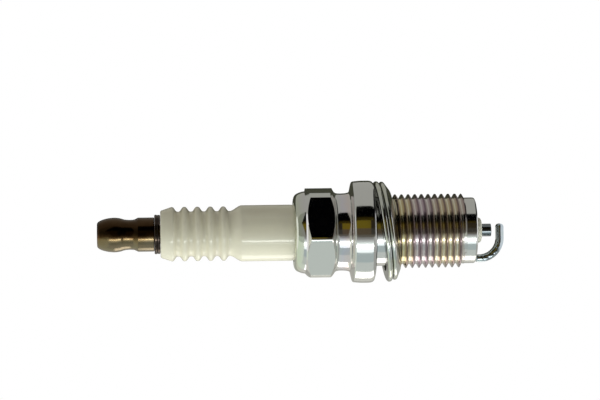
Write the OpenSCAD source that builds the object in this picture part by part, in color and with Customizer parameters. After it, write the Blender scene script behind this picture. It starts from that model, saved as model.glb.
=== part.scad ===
// Spark plug with M14 x 1.25 thread, 19 mm reach and 16 mm hexagon.
// Origin on the plug axis in the gasket seat plane, +Z towards the terminal.

/* [Shell outside] */
// Diameter of the flange above the gasket
flange_d = 19.25; // [18.8:0.05:22]
// Height of the flange
flange_h = 4.6; // [4:0.1:8]
// Width of the bevel under the rim of the flange
flange_bevel = 0.95; // [0.5:0.05:1.1]
// Diameter of the waist between flange and hexagon
waist_d = 14.7; // [14.2:0.1:15.4]
// Height of the waist
waist_h = 2.85; // [1.5:0.05:6]
// Width of the hexagon across its flats
hex_flats = 15.9; // [15.8:0.1:18]
// Height of the hexagon
hex_h = 5.65; // [4.5:0.05:10]
// How far the hexagon's corners are rounded off
hex_round = 0.36; // [0.2:0.01:0.6]
// Turn of the hexagon about the axis, in degrees
hex_turn = 22; // [0:0.5:60]
// Diameter of the crimped lip at its foot
crimp_d = 15.4; // [14.8:0.1:15.6]
// Height of the crimped lip above the hexagon
crimp_h = 2; // [2:0.05:4]
// Radius of the crimped lip's round edge
crimp_round = 1.5; // [0.8:0.05:1.7]

/* [Thread and nose] */
// Outer diameter of the thread
thread_d = 13.86; // [13.6:0.01:13.98]
// Pitch of the thread
thread_pitch = 1.25; // [1:0.05:1.5]
// Reach, from the gasket seat to the end of the shell
reach = 19; // [16:0.1:26.5]
// Diameter of the neck that carries the gasket
neck_d = 12.9; // [12.6:0.05:13.4]
// Height of the neck
neck_h = 3.2; // [2.6:0.1:3.6]
// Diameter of the plain nose below the thread
nose_d = 12.35; // [12:0.05:12.4]
// Height of the plain nose
nose_h = 2.05; // [1.5:0.05:4]

/* [Shell inside] */
// Diameter of the wide bore that holds the insulator
bore_d = 12; // [11.6:0.05:12.6]
// Height of the wide bore's floor above the gasket seat
bore_floor = 3; // [2:0.1:4]
// Diameter of the bore in the shank
shank_bore_d = 8.8; // [8.4:0.05:9.4]
// Diameter inside the ledge that carries the insulator
ledge_d = 7.2; // [6.8:0.05:7.6]
// Depth of the ledge below the gasket seat
ledge_depth = 7.6; // [6:0.1:9]
// Height of the ledge
ledge_h = 2.4; // [1.5:0.1:3.5]
// Diameter of the open mouth at the firing end
mouth_d = 9; // [8.4:0.05:9.2]
// Thickness of the crimped lip over the packing
lip_t = 1; // [0.7:0.05:1.4]

/* [Insulator] */
// Diameter of the smooth barrel
barrel_d = 10.5; // [10:0.05:11]
// Thickness of the glaze
glaze_t = 0.06; // [0.03:0.01:0.1]
// Height over which the glaze fades out above the shell
glaze_fade = 0.6; // [0.55:0.01:1]
// Height of the smooth barrel above the shell
barrel_h = 9.8; // [6:0.1:16]
// Diameter over the ribs
rib_d = 10.18; // [9.8:0.02:10.6]
// Diameter between the ribs
rib_valley_d = 8.4; // [8.2:0.02:9.2]
// Spacing of the ribs
rib_pitch = 2.42; // [1.8:0.02:3]
// Number of ribs
rib_count = 5; // [2:1:6]
// Height of the sweep from the barrel into the lowest valley
rib_sweep = 2.1; // [1.4:0.1:3]
// Diameter of the insulator at its top
head_d = 9; // [8.6:0.1:9.6]
// Height from the top rib to the top of the insulator
head_h = 2.1; // [1.5:0.1:4]
// Diameter of the firing tip
tip_d = 4.8; // [4.4:0.05:5.4]
// How far the firing tip stands out of the shell
tip_out = 1.25; // [0.4:0.05:2.5]
// Diameter of the bore for the stud and the resistor
stud_bore_d = 3.9; // [3.7:0.05:4.3]
// Depth of the step that carries the centre electrode, below the gasket seat
step_depth = 3; // [1:0.1:5]

/* [Terminal] */
// Height of the terminal nut
nut_h = 10.65; // [9.6:0.05:13]
// Largest diameter of the nut's round head
nut_head_d = 6.5; // [6.2:0.05:6.8]
// Diameter of the nut's foot
nut_foot_d = 6.38; // [6.1:0.02:6.6]
// Height of the nut's foot
nut_foot_h = 3; // [2:0.1:4]
// Diameter of the snap groove
nut_groove_d = 5.65; // [5.3:0.05:5.9]
// Diameter of the flat top of the nut
nut_top_d = 4.8; // [4.6:0.05:5.2]
// Diameter of the stud's collar
collar_d = 7.4; // [6.8:0.05:8]
// Height of the stud's collar
collar_h = 1.1; // [0.8:0.05:2]
// Outer diameter of the stud's thread
stud_thread_d = 3.98; // [3.8:0.01:4]
// Pitch of the stud's thread
stud_thread_pitch = 0.7; // [0.6:0.05:0.8]
// Height of the stud's thread above the collar
stud_thread_h = 9.4; // [7:0.1:9.5]
// Radial clearance between the stud's rod and its bore
rod_clear = 0.25; // [0.15:0.01:0.4]

/* [Electrodes] */
// Diameter of the centre electrode
electrode_d = 2.4; // [2:0.05:2.8]
// How far the centre electrode stands out of the insulator
electrode_out = 1.85; // [0.8:0.05:2.5]
// Height of the centre electrode's head
electrode_head_h = 1.6; // [1:0.1:2.4]
// Diameter of the copper core
core_d = 1.3; // [0.9:0.05:1.5]
// Length of solid nickel below the copper core
core_cap = 2.4; // [1.5:0.1:4]
// Spark gap
spark_gap = 0.95; // [0.5:0.05:1.5]
// Thickness of the ground electrode
strap_t = 1.4; // [1.1:0.05:1.5]
// Width of the ground electrode
strap_w = 2.7; // [2.2:0.05:3]
// Straight length of the ground electrode's root below the shell
strap_root = 0.95; // [0.3:0.05:1.5]
// How far the ground electrode reaches past the axis
strap_past = 1.2; // [0.4:0.1:2]
// How far the ground electrode is set in from the nose wall
strap_inset = 0.2; // [0.18:0.01:0.4]

/* [Seals] */
// Height of the packing chamber under the crimped lip
packing_h = 3.4; // [2.6:0.1:5]
// Thickness of the seat washer
washer_t = 0.45; // [0.3:0.05:0.8]
// Height of the lower glass seal
lower_seal_h = 2.8; // [1.5:0.1:4]
// Height of the resistor
resistor_h = 8; // [4:0.1:10]
// Height of the upper glass seal
upper_seal_h = 5; // [4:0.1:7]
// How deep the stud's foot sits in the upper glass seal
stud_foot_h = 3.5; // [2.5:0.1:3.8]

/* [Gasket] */
// How far the gasket's rim stays inside the flange's rim
gasket_inset = 0.1; // [0:0.01:0.4]
// How far the loose gasket hangs off centre
gasket_shift = 0.08; // [0:0.01:0.2]
// Radial clearance between the gasket and the thread it hangs over
gasket_clear = 0.32; // [0.25:0.01:0.5]
// Thickness of the gasket's sheet metal
gasket_sheet = 0.44; // [0.4:0.02:0.6]
// Space between the gasket's folds
gasket_fold_gap = 0.1; // [0.1:0.01:0.3]
// How far the gasket's lower fold stays inside its rim
gasket_step = 0.3; // [0:0.05:0.6]
// Slope of the gasket's lowest layer, in degrees
gasket_slope = 28; // [0:1:34]
// Lean of the loose gasket from the flange, in degrees
gasket_lean = 6.4; // [3:0.1:7]

/* [Fits] */
// Clearance between fixed pieces that are fitted into each other
fit = 0.02; // [0.01:0.005:0.05]
// Radial clearance between the stud's thread and the nut
run_clearance = 0.06; // [0.03:0.01:0.1]
// Radial clearance between insulator and shell
body_gap = 0.12; // [0.05:0.01:0.15]

/* [Hidden] */

$fn = 96;

// Thread form: 60 degree flanks, 5/8 of the full triangle deep, crest land of 1/8 pitch
thread_depth_share = 0.5413;
thread_crest_share = 0.125;
thread_flank_share = thread_depth_share * tan(30);
thread_rim_share = 0.02;
thread_sides = 36;
stud_thread_sides = 20;

// Small edge breaks, and how far cutting bodies and joined bodies reach past a face
edge = 0.2;
fine_edge = 0.1;
past = 1;
slope_30 = tan(30);

// Shell radii
flange_r = flange_d / 2;
waist_r = waist_d / 2;
crimp_r = crimp_d / 2;
neck_r = neck_d / 2;
nose_r = nose_d / 2;
bore_r = bore_d / 2;
shank_bore_r = shank_bore_d / 2;
ledge_r = ledge_d / 2;
mouth_r = mouth_d / 2;
hex_corner_r = hex_flats / 2 / cos(30) - hex_round;

// Heights along the axis, upwards from the gasket seat
hex_z = flange_h + waist_h;
hex_top_z = hex_z + hex_h;
shell_top_z = hex_top_z + crimp_h;
lip_z = shell_top_z - lip_t;
shoulder_z = lip_z - packing_h;
barrel_top_z = shell_top_z + barrel_h;
valley_z = barrel_top_z + rib_sweep;
top_rib_z = valley_z + rib_pitch * (rib_count - 0.5);
insulator_top_z = top_rib_z + head_h;
collar_z = insulator_top_z + fit;
collar_top_z = collar_z + collar_h;
nut_z = collar_top_z + fit;

// Heights along the axis, downwards from the gasket seat
thread_end_z = nose_h - reach;
tip_z = -reach - tip_out;
electrode_tip_z = tip_z - electrode_out;
strap_in_z = electrode_tip_z - spark_gap;
strap_out_z = strap_in_z - strap_t;
strap_bend = -reach - strap_root - strap_out_z;

// Stack inside the insulator, upwards from the step in its bore
step_z = -step_depth;
electrode_head_z = step_z + fit;
lower_seal_z = electrode_head_z + electrode_head_h + fit;
resistor_z = lower_seal_z + lower_seal_h + fit;
upper_seal_z = resistor_z + resistor_h + fit;
upper_seal_top_z = upper_seal_z + upper_seal_h;
stud_foot_z = upper_seal_top_z - stud_foot_h;

// Insulator radii
barrel_r = barrel_d / 2;
bare_r = barrel_r - glaze_t;
tip_r = tip_d / 2;
insulator_body_r = bore_r - body_gap;
insulator_shank_r = shank_bore_r - body_gap;
nose_ring_gap = 0.35;
insulator_nose_r = ledge_r - nose_ring_gap;
stud_bore_r = stud_bore_d / 2;
electrode_r = electrode_d / 2;
electrode_bore_r = electrode_r + fit;
rod_r = stud_bore_r - rod_clear;

// Seat of the insulator on the ledge: both are cones of this slope, with the washer between
seat_lift = washer_t + 2 * fit;
shoulder_gap = 0.3;

// Packing between barrel and bore
packing_w = bore_r - bare_r;
packing_mid_r = bare_r + packing_w / 2;
wire_r = packing_w / 2 - fit;
upper_wire_z = lip_z - fit - wire_r;
lower_wire_z = shoulder_z + (sqrt(2) - 1) * packing_w / 2;

// Gasket section: one strip folded into four layers, seen flat against the flange
gasket_r = flange_r - gasket_inset;
gasket_bore_r = thread_d / 2 + gasket_clear;
layer_step = gasket_sheet + gasket_fold_gap;
fold_r = gasket_sheet + gasket_fold_gap / 2;
rock_x = gasket_r - fold_r - gasket_shift;
rock_z = -fit - fold_r;

// Points along an arc about c, from angle a0 to a1
function arc(c, r, a0, a1, n) =
    [for (i = [0:n]) c + r * [cos(a0 + (a1 - a0) * i / n), sin(a0 + (a1 - a0) * i / n)]];

// Share of full ridge height after t turns of a thread that is turns long: blunt start, long run-out
blunt_start = 0.2;
function run_out(t, turns) = max(0, min(1, t + blunt_start, turns - t));

// Shell ledge height at radius r
function ledge_z(r) = -ledge_depth + (r - ledge_r) * slope_30;

// Floor of the wide bore at radius r
function floor_z(r) = bore_floor - (bore_r - r);

// Right-hand threaded rod with plain ends, from z0 to z1, with a crest at angle 0 and height crest_z
module threaded_rod(d, pitch, z0, z1, crest_z, sides) {
    crest_r = d / 2;
    root_r = crest_r - thread_depth_share * pitch;
    shares = [
        0,
        thread_flank_share,
        thread_flank_share + thread_crest_share,
        2 * thread_flank_share + thread_crest_share
    ];
    corners = len(shares);
    crest_mid = thread_flank_share + thread_crest_share / 2;
    end_rim = thread_rim_share * pitch;
    start_z = crest_z - pitch * (crest_mid + floor((crest_z - z0 - end_rim) / pitch - crest_mid));
    turns = floor((z1 - end_rim - start_z) / pitch - shares[corners - 1]);
    rows = turns * corners;
    spots = [for (j = [0:sides - 1]) each concat(
        [[root_r, 360 * j / sides, z0]],
        [for (m = [0:rows - 1])
            let (t = floor(m / corners) + shares[m % corners] + j / sides)
            let (ridge = (m % corners == 1 || m % corners == 2) ? run_out(t, turns) : 0)
            [root_r + (crest_r - root_r) * ridge, 360 * j / sides, start_z + pitch * t]],
        [[root_r, 360 * j / sides, z1]]
    )];
    points = [for (s = spots) [s[0] * cos(s[1]), s[0] * sin(s[1]), s[2]]];
    column = rows + 2;
    last = sides - 1;
    function at(j, row) = j * column + row;
    walls = [for (j = [0:last - 1], row = [0:column - 2]) each [
        [at(j, row), at(j, row + 1), at(j + 1, row + 1)],
        [at(j, row), at(j + 1, row + 1), at(j + 1, row)]
    ]];
    seam = [for (row = [1:rows - corners - 1]) each [
        [at(last, row), at(last, row + 1), at(0, row + 1 + corners)],
        [at(last, row), at(0, row + 1 + corners), at(0, row + corners)]
    ]];
    seam_foot = concat(
        [[at(last, 0), at(last, 1), at(0, 0)]],
        [for (row = [0:corners]) [at(last, 1), at(0, row + 1), at(0, row)]]
    );
    seam_head = concat(
        [for (row = [rows - corners:rows]) [at(0, rows), at(last, row), at(last, row + 1)]],
        [[at(0, rows), at(last, rows + 1), at(0, rows + 1)]]
    );
    foot = [for (j = [1:last - 1]) [at(0, 0), at(j, 0), at(j + 1, 0)]];
    head = [for (j = [1:last - 1]) [at(0, rows + 1), at(j + 1, rows + 1), at(j, rows + 1)]];
    polyhedron(points, concat(walls, seam, seam_foot, seam_head, foot, head), convexity = 10);
}

// Neck, flange and waist of the shell, turned about the axis
module shell_turning() {
    cone_h = 0.4;
    crown = 0.15;
    rim_round = 0.35;
    rotate_extrude()
        polygon(concat(
            [[0, -neck_h], [neck_r, -neck_h], [neck_r, 0]],
            [[flange_r - flange_bevel - crown, 0], [flange_r - crown, flange_bevel / 2]],
            [[flange_r, flange_bevel / 2 + 2 * crown]],
            arc([flange_r - rim_round, flange_h - cone_h - rim_round], rim_round, 0, 80, 4),
            [[waist_r, flange_h], [waist_r, hex_z + past], [0, hex_z + past]]
        ));
}

// Lip of the shell, rolled over the packing
module crimped_lip() {
    foot_step = 0.1;
    top_sink = 0.05;
    inner_r = barrel_r + body_gap;
    rotate_extrude()
        polygon(concat(
            [[0, hex_top_z - past], [crimp_r, hex_top_z - past], [crimp_r, hex_top_z]],
            arc([crimp_r - foot_step - crimp_round, shell_top_z - crimp_round], crimp_round, 0, 90, 8),
            [[inner_r, shell_top_z - top_sink], [0, shell_top_z - top_sink]]
        ));
}

// Hexagon with its corners rounded off and both ends bevelled
module hexagon() {
    top_bevel = 0.32;
    top_inset = 0.32;
    foot_bevel = 0.28;
    foot_inset = 0.4;
    end_slope = 0.74;
    flat_r = hex_flats / 2;
    corner_rise = (hex_corner_r - flat_r) * end_slope;
    intersection() {
        translate([0, 0, hex_z])
            rotate(hex_turn)
                cylinder(h = hex_h, r = flat_r / cos(30), $fn = 6);
        rotate_extrude()
            polygon([
                [0, hex_z], [flat_r - foot_inset, hex_z], [flat_r, hex_z + foot_bevel],
                [hex_corner_r, hex_z + foot_bevel + corner_rise],
                [hex_corner_r, hex_top_z - top_bevel - corner_rise],
                [flat_r, hex_top_z - top_bevel], [flat_r - top_inset, hex_top_z], [0, hex_top_z]
            ]);
    }
}

// Plain nose below the thread, reaching up into it
module nose() {
    rotate_extrude()
        polygon(concat(
            [[0, -reach]],
            arc([nose_r - edge, -reach + edge], edge, -90, 0, 4),
            [[nose_r, thread_end_z + past], [0, thread_end_z + past]]
        ));
}

// Everything that is hollow inside the shell
module shell_bore() {
    lip_r = barrel_r + body_gap;
    rotate_extrude()
        polygon([
            [0, -reach - past], [mouth_r, -reach - past],
            [mouth_r, -ledge_depth - ledge_h - (mouth_r - ledge_r)], [ledge_r, -ledge_depth - ledge_h],
            [ledge_r, ledge_z(ledge_r)], [shank_bore_r, ledge_z(shank_bore_r)],
            [shank_bore_r, floor_z(shank_bore_r)], [bore_r, bore_floor],
            [bore_r, lip_z], [lip_r, lip_z + (bore_r - lip_r) / 2],
            [lip_r, shell_top_z + past], [0, shell_top_z + past]
        ]);
}

module shell() {
    first_crest = 0.69 * thread_pitch;
    color("silver")
        difference() {
            union() {
                shell_turning();
                crimped_lip();
                hexagon();
                nose();
                threaded_rod(thread_d, thread_pitch, thread_end_z, thread_pitch - neck_h,
                    -neck_h - first_crest, thread_sides);
            }
            shell_bore();
        }
}

// Outer half-section of the insulator's ribs, from the lowest valley to the top rib
function rib_points() =
    let (steps = 12, mid = (rib_d + rib_valley_d) / 4, swing = (rib_d - rib_valley_d) / 4)
    [for (i = [0:steps * (rib_count - 0.5)])
        [mid - swing * cos(360 * i / steps), valley_z + rib_pitch * i / steps]];

// Outer half-section of the sweep from the barrel into the lowest valley
function sweep_points() =
    let (steps = 6, mid = (barrel_d + rib_valley_d) / 4, swing = (barrel_d - rib_valley_d) / 4)
    [for (i = [0:steps - 1])
        [mid + swing * cos(180 * i / steps), barrel_top_z + rib_sweep * i / steps]];

module insulator() {
    tip_round = 0.6;
    head_round = 0.4;
    seat_low_z = ledge_z(insulator_nose_r) + seat_lift;
    seat_high_z = ledge_z(insulator_shank_r) + seat_lift;
    color("ivory")
        difference() {
            rotate_extrude()
                polygon(concat(
                    [[0, tip_z]],
                    arc([tip_r - tip_round, tip_z + tip_round], tip_round, -90, 0, 5),
                    [[insulator_nose_r, seat_low_z], [insulator_shank_r, seat_high_z]],
                    [[insulator_shank_r, floor_z(insulator_shank_r) + shoulder_gap]],
                    [[insulator_body_r, floor_z(insulator_body_r) + shoulder_gap]],
                    [[insulator_body_r, shoulder_z - (insulator_body_r - bare_r)]],
                    [[bare_r, shoulder_z], [bare_r, shell_top_z], [barrel_r, shell_top_z + glaze_fade]],
                    sweep_points(),
                    rib_points(),
                    arc([head_d / 2 - head_round, insulator_top_z - head_round], head_round, 0, 90, 5),
                    [[0, insulator_top_z]]
                ));
            translate([0, 0, tip_z - past])
                cylinder(h = step_z - tip_z + 2 * past, r = electrode_bore_r);
            translate([0, 0, step_z])
                cylinder(h = insulator_top_z - step_z + past, r = stud_bore_r);
        }
}

module terminal_stud() {
    collar_land = 0.1;
    collar_round = (collar_h - collar_land) / 2;
    foot_groove = 0.25;
    foot_steps = 6;
    color("dimgray")
        union() {
            rotate_extrude()
                polygon(concat(
                    [[0, stud_foot_z + fit], [rod_r - foot_groove, stud_foot_z + fit]],
                    [for (i = [1:foot_steps])
                        [rod_r - foot_groove * (i % 2), stud_foot_z + stud_foot_h * i / (foot_steps + 1)]],
                    [[rod_r, upper_seal_top_z], [rod_r, collar_z]],
                    arc([collar_d / 2 - collar_round, collar_z + collar_round], collar_round, -90, 0, 5),
                    arc([collar_d / 2 - collar_round, collar_top_z - collar_round], collar_round, 0, 90, 5),
                    [[0, collar_top_z]]
                ));
            threaded_rod(stud_thread_d, stud_thread_pitch, collar_top_z - collar_h / 2,
                collar_top_z + stud_thread_h, collar_top_z + stud_thread_pitch, stud_thread_sides);
        }
}

module terminal_nut() {
    foot_r = nut_foot_d / 2;
    head_r = nut_head_d / 2;
    groove_r = nut_groove_d / 2;
    top_r = nut_top_d / 2;
    bore_radius = stud_thread_d / 2 + run_clearance;
    countersink = min(0.15, (top_r - bore_radius) / 2);
    groove_fall_h = 0.7;
    groove_h = 1.2;
    flare_h = 2;
    land_h = 0.9;
    flare_steps = 6;
    groove_low_z = nut_z + nut_foot_h + groove_fall_h;
    groove_high_z = groove_low_z + groove_h;
    head_low_z = groove_high_z + flare_h;
    dome_z = head_low_z + land_h;
    top_z = nut_z + nut_h;
    color("darkkhaki")
        rotate_extrude()
            polygon(concat(
                [[bore_radius, nut_z], [foot_r - edge, nut_z], [foot_r, nut_z + edge]],
                [[foot_r, nut_z + nut_foot_h], [foot_r - edge, nut_z + nut_foot_h + fine_edge]],
                [[groove_r, groove_low_z]],
                [for (i = [0:flare_steps]) [
                    groove_r + (head_r - groove_r) * (1 - cos(180 * i / flare_steps)) / 2,
                    groove_high_z + flare_h * i / flare_steps
                ]],
                [for (a = [0:10:90])
                    [top_r + (head_r - top_r) * cos(a), dome_z + (top_z - dome_z) * sin(a)]],
                [[bore_radius + countersink, top_z], [bore_radius, top_z - countersink]]
            ));
}

module upper_glass_seal() {
    color("slategray")
        difference() {
            translate([0, 0, upper_seal_z])
                cylinder(h = upper_seal_h, r = stud_bore_r - fit);
            translate([0, 0, stud_foot_z])
                cylinder(h = stud_foot_h + past, r = rod_r + fit);
        }
}

module resistor() {
    color("dimgray")
        translate([0, 0, resistor_z])
            cylinder(h = resistor_h, r = stud_bore_r - fit);
}

module lower_glass_seal() {
    color("slategray")
        translate([0, 0, lower_seal_z])
            cylinder(h = lower_seal_h, r = stud_bore_r - fit);
}

module center_electrode() {
    tip_break = 0.15;
    color("gray")
        difference() {
            rotate_extrude()
                polygon([
                    [0, electrode_tip_z], [electrode_r - tip_break, electrode_tip_z],
                    [electrode_r, electrode_tip_z + tip_break], [electrode_r, electrode_head_z],
                    [stud_bore_r - fit, electrode_head_z],
                    [stud_bore_r - fit, electrode_head_z + electrode_head_h],
                    [0, electrode_head_z + electrode_head_h]
                ]);
            translate([0, 0, electrode_tip_z + core_cap])
                cylinder(h = electrode_head_z + electrode_head_h - electrode_tip_z, r = core_d / 2 + fit);
        }
}

module electrode_core() {
    core_z = electrode_tip_z + core_cap + fit;
    color("peru")
        translate([0, 0, core_z])
            cylinder(h = electrode_head_z + electrode_head_h - core_z, r = core_d / 2);
}

// Ring of round wire about the insulator, its middle at height z
module packing_ring(z) {
    rotate_extrude()
        translate([packing_mid_r, z])
            circle(r = wire_r, $fn = 48);
}

module upper_packing_ring() {
    color("darkgray")
        packing_ring(upper_wire_z);
}

module lower_packing_ring() {
    color("darkgray")
        packing_ring(lower_wire_z);
}

module talc_packing() {
    talc_z = lower_wire_z + wire_r + fit;
    color("gainsboro")
        difference() {
            translate([0, 0, talc_z])
                cylinder(h = upper_wire_z - wire_r - fit - talc_z, r = bore_r - fit);
            translate([0, 0, talc_z - past])
                cylinder(h = packing_h + 2 * past, r = bare_r + fit);
        }
}

module seat_washer() {
    inner_r = ledge_r + fine_edge / 2;
    outer_r = insulator_shank_r;
    color("darkgray")
        rotate_extrude()
            polygon([
                [inner_r, ledge_z(inner_r) + fit], [outer_r, ledge_z(outer_r) + fit],
                [outer_r, ledge_z(outer_r) + fit + washer_t], [inner_r, ledge_z(inner_r) + fit + washer_t]
            ]);
}

// Strap in the XZ plane: down from the rim of the nose, round the bend and under the centre electrode
module ground_electrode() {
    bend_steps = 18;
    out_x = strap_inset - nose_r;
    bend_c = [out_x + strap_bend, strap_out_z + strap_bend];
    color("slategray")
        rotate([90, 0, 0])
            linear_extrude(strap_w, center = true)
                polygon(concat(
                    [[out_x + strap_t, -reach], [out_x, -reach]],
                    arc(bend_c, strap_bend, 180, 270, bend_steps),
                    [[strap_past, strap_out_z], [strap_past, strap_in_z]],
                    arc(bend_c, strap_bend - strap_t, 270, 180, bend_steps)
                ));
}

// Folded strip: layers one and two join at the rim, two and three at the bore, three and four at the rim
module gasket() {
    top_z = -fit;
    half = gasket_sheet / 2;
    space = gasket_fold_gap / 2;
    end_x = gasket_bore_r + edge + half;
    upper_rim = [gasket_r - fold_r, top_z - fold_r];
    bore_fold = [gasket_bore_r + fold_r, upper_rim[1] - layer_step];
    lower_rim = [gasket_r - fold_r - gasket_step, bore_fold[1] - layer_step];
    turn = gasket_slope - 90;
    bend_end = lower_rim + (fold_r - half) * [cos(turn), sin(turn)];
    lower_end = [end_x, bend_end[1] - (bend_end[0] - end_x) * tan(gasket_slope)];
    color("silver")
        translate([rock_x, 0, rock_z])
            rotate([0, -gasket_lean, 0])
                translate([fold_r - gasket_r, 0, -rock_z])
                    rotate_extrude()
                        polygon(concat(
                            arc([end_x, top_z - half], half, 90, 270, 6),
                            arc(upper_rim, space, 90, -90, 6),
                            arc(bore_fold, fold_r, 90, 270, 10),
                            arc(lower_rim, space, 90, turn, 6),
                            arc(lower_end, half, turn + 180, turn + 360, 6),
                            arc(lower_rim, fold_r, turn, 90, 10),
                            arc(bore_fold, space, 270, 90, 6),
                            arc(upper_rim, fold_r, -90, 90, 10)
                        ));
}

terminal_nut();
terminal_stud();
insulator();
upper_glass_seal();
resistor();
lower_glass_seal();
center_electrode();
electrode_core();
upper_packing_ring();
talc_packing();
lower_packing_ring();
seat_washer();
shell();
ground_electrode();
gasket();
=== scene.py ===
import math

import bpy
from mathutils import Matrix, Vector


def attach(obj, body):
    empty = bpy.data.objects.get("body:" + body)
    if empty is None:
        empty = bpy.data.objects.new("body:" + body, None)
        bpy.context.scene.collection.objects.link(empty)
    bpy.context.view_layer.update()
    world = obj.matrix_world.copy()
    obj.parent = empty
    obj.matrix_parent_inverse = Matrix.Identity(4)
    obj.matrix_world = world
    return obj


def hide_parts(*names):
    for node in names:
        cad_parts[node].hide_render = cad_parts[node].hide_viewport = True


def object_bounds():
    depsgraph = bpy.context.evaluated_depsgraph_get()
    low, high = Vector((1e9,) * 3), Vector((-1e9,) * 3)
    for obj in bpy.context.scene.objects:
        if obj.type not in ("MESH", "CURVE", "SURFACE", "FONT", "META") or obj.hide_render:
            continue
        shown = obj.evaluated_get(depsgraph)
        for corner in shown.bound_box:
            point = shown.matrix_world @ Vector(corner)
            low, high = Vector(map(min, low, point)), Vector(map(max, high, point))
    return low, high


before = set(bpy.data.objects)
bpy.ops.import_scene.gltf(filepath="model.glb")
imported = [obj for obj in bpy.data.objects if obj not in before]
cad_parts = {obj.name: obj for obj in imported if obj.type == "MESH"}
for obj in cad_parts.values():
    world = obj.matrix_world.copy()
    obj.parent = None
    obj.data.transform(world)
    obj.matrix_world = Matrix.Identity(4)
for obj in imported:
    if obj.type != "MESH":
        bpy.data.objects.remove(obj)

mm = 0.001
weldDistance = 1.5e-6  # m, points nearer than this become one
sameHeight = 1e-7      # m, points this near in height lie on one ring
cadBox = [list(corner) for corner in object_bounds()]
print("frame loaded:", len(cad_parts), "nodes")


# small helpers

def linear(code):
    # sRGB hex to linear colour
    parts = [int(code[i:i + 2], 16) / 255 for i in (1, 3, 5)]
    return tuple(c / 12.92 if c <= 0.04045 else ((c + 0.055) / 1.055) ** 2.4 for c in parts) + (1.0,)


def newMaterial(name):
    material = bpy.data.materials.new(name)
    material.use_nodes = True
    material.node_tree.nodes.clear()
    return material


def addNode(tree, kind, links=None, stops=None, **settings):
    # links holds socket: value or socket: other node's output; stops fills a colour ramp
    node = tree.nodes.new(kind)
    for key, value in settings.items():
        setattr(node, key, value)
    if stops:
        ramp = node.color_ramp
        while len(ramp.elements) < len(stops):
            ramp.elements.new(1.0)
        for element, (place, colour) in zip(ramp.elements, stops):
            element.position = place
            element.color = linear(colour) if isinstance(colour, str) else (colour, colour, colour, 1.0)
    for socket, value in (links or {}).items():
        if isinstance(value, bpy.types.NodeSocket):
            tree.links.new(value, node.inputs[socket])
        else:
            node.inputs[socket].default_value = value
    return node


def mapRange(tree, value, source=(0.0, 1.0), target=(0.0, 1.0)):
    mapped = addNode(tree, "ShaderNodeMapRange", {"Value": value,
                                                  "From Min": source[0], "From Max": source[1],
                                                  "To Min": target[0], "To Max": target[1]})
    return mapped.outputs[0]


def addNoise(tree, spot, size, detail, roughness=0.5):
    # clouds fixed to the piece; size in mm
    noise = addNode(tree, "ShaderNodeTexNoise", {"Vector": spot.outputs["Object"], "Scale": 1000 / size,
                                                 "Detail": detail, "Roughness": roughness})
    return noise.outputs["Fac"]


def startFresh():
    if bpy.context.object and bpy.context.object.mode != "OBJECT":
        bpy.ops.object.mode_set(mode="OBJECT")
    bpy.ops.object.select_all(action="DESELECT")


def pickUp(piece):
    startFresh()
    piece.select_set(True)
    bpy.context.view_layer.objects.active = piece


def softenCorners(corners, arcSteps=5):
    # corners are (radius, height) or (radius, height, rounding) in mm
    outline = []
    for i, corner in enumerate(corners):
        here = Vector(corner[:2])
        if len(corner) < 3 or i in (0, len(corners) - 1):
            outline.append(tuple(here))
            continue
        toBack = Vector(corners[i - 1][:2]) - here
        toNext = Vector(corners[i + 1][:2]) - here
        half = toBack.angle(toNext) / 2
        cut = min(corner[2] / math.tan(half), toBack.length * 0.49, toNext.length * 0.49)
        toBack.normalize()
        toNext.normalize()
        centre = here + (toBack + toNext).normalized() * (cut / math.cos(half))
        first = here + toBack * cut - centre
        last = here + toNext * cut - centre
        for k in range(arcSteps + 1):
            outline.append(tuple(centre + first.lerp(last, k / arcSteps).normalized() * first.length))
    return outline


def arcPoints(centre, radius, fromDeg, toDeg, steps):
    points = []
    for k in range(steps + 1):
        angle = math.radians(fromDeg + (toDeg - fromDeg) * k / steps)
        points.append((centre[0] + radius * math.cos(angle), centre[1] + radius * math.sin(angle)))
    return points


def drawLine(name, outline):
    # one vertex, extruded from point to point in the XZ plane
    startFresh()
    bpy.ops.mesh.primitive_plane_add(size=mm)
    piece = bpy.context.object
    piece.name = piece.data.name = name
    bpy.ops.object.mode_set(mode="EDIT")
    bpy.ops.mesh.select_mode(type="VERT")
    bpy.ops.mesh.select_all(action="SELECT")
    bpy.ops.mesh.merge(type="CENTER")
    bpy.ops.transform.translate(value=(outline[0][0] * mm, 0, outline[0][1] * mm))
    for here, there in zip(outline, outline[1:]):
        step = ((there[0] - here[0]) * mm, 0, (there[1] - here[1]) * mm)
        bpy.ops.mesh.extrude_vertices_move(TRANSFORM_OT_translate={"value": step})
    return piece


def closeUp():
    bpy.ops.mesh.select_all(action="SELECT")
    bpy.ops.mesh.remove_doubles(threshold=weldDistance)
    bpy.ops.mesh.normals_make_consistent(inside=False)
    bpy.ops.object.mode_set(mode="OBJECT")


def turnOnLathe(name, outline, steps):
    piece = drawLine(name, outline)
    bpy.ops.mesh.select_all(action="SELECT")
    bpy.ops.mesh.remove_doubles(threshold=weldDistance)
    bpy.ops.mesh.spin(steps=steps, angle=math.tau, center=(0, 0, 0), axis=(0, 0, 1))
    closeUp()
    return piece


def roundEdges(piece, width, segments, fromDeg):
    # edges sharper than fromDeg get a rounding; width in mm
    rounding = piece.modifiers.new("edge rounding", "BEVEL")
    rounding.width = width * mm
    rounding.segments = segments
    rounding.limit_method = "ANGLE"
    rounding.angle_limit = math.radians(fromDeg)
    pickUp(piece)
    bpy.ops.object.modifier_apply(modifier=rounding.name)


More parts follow.
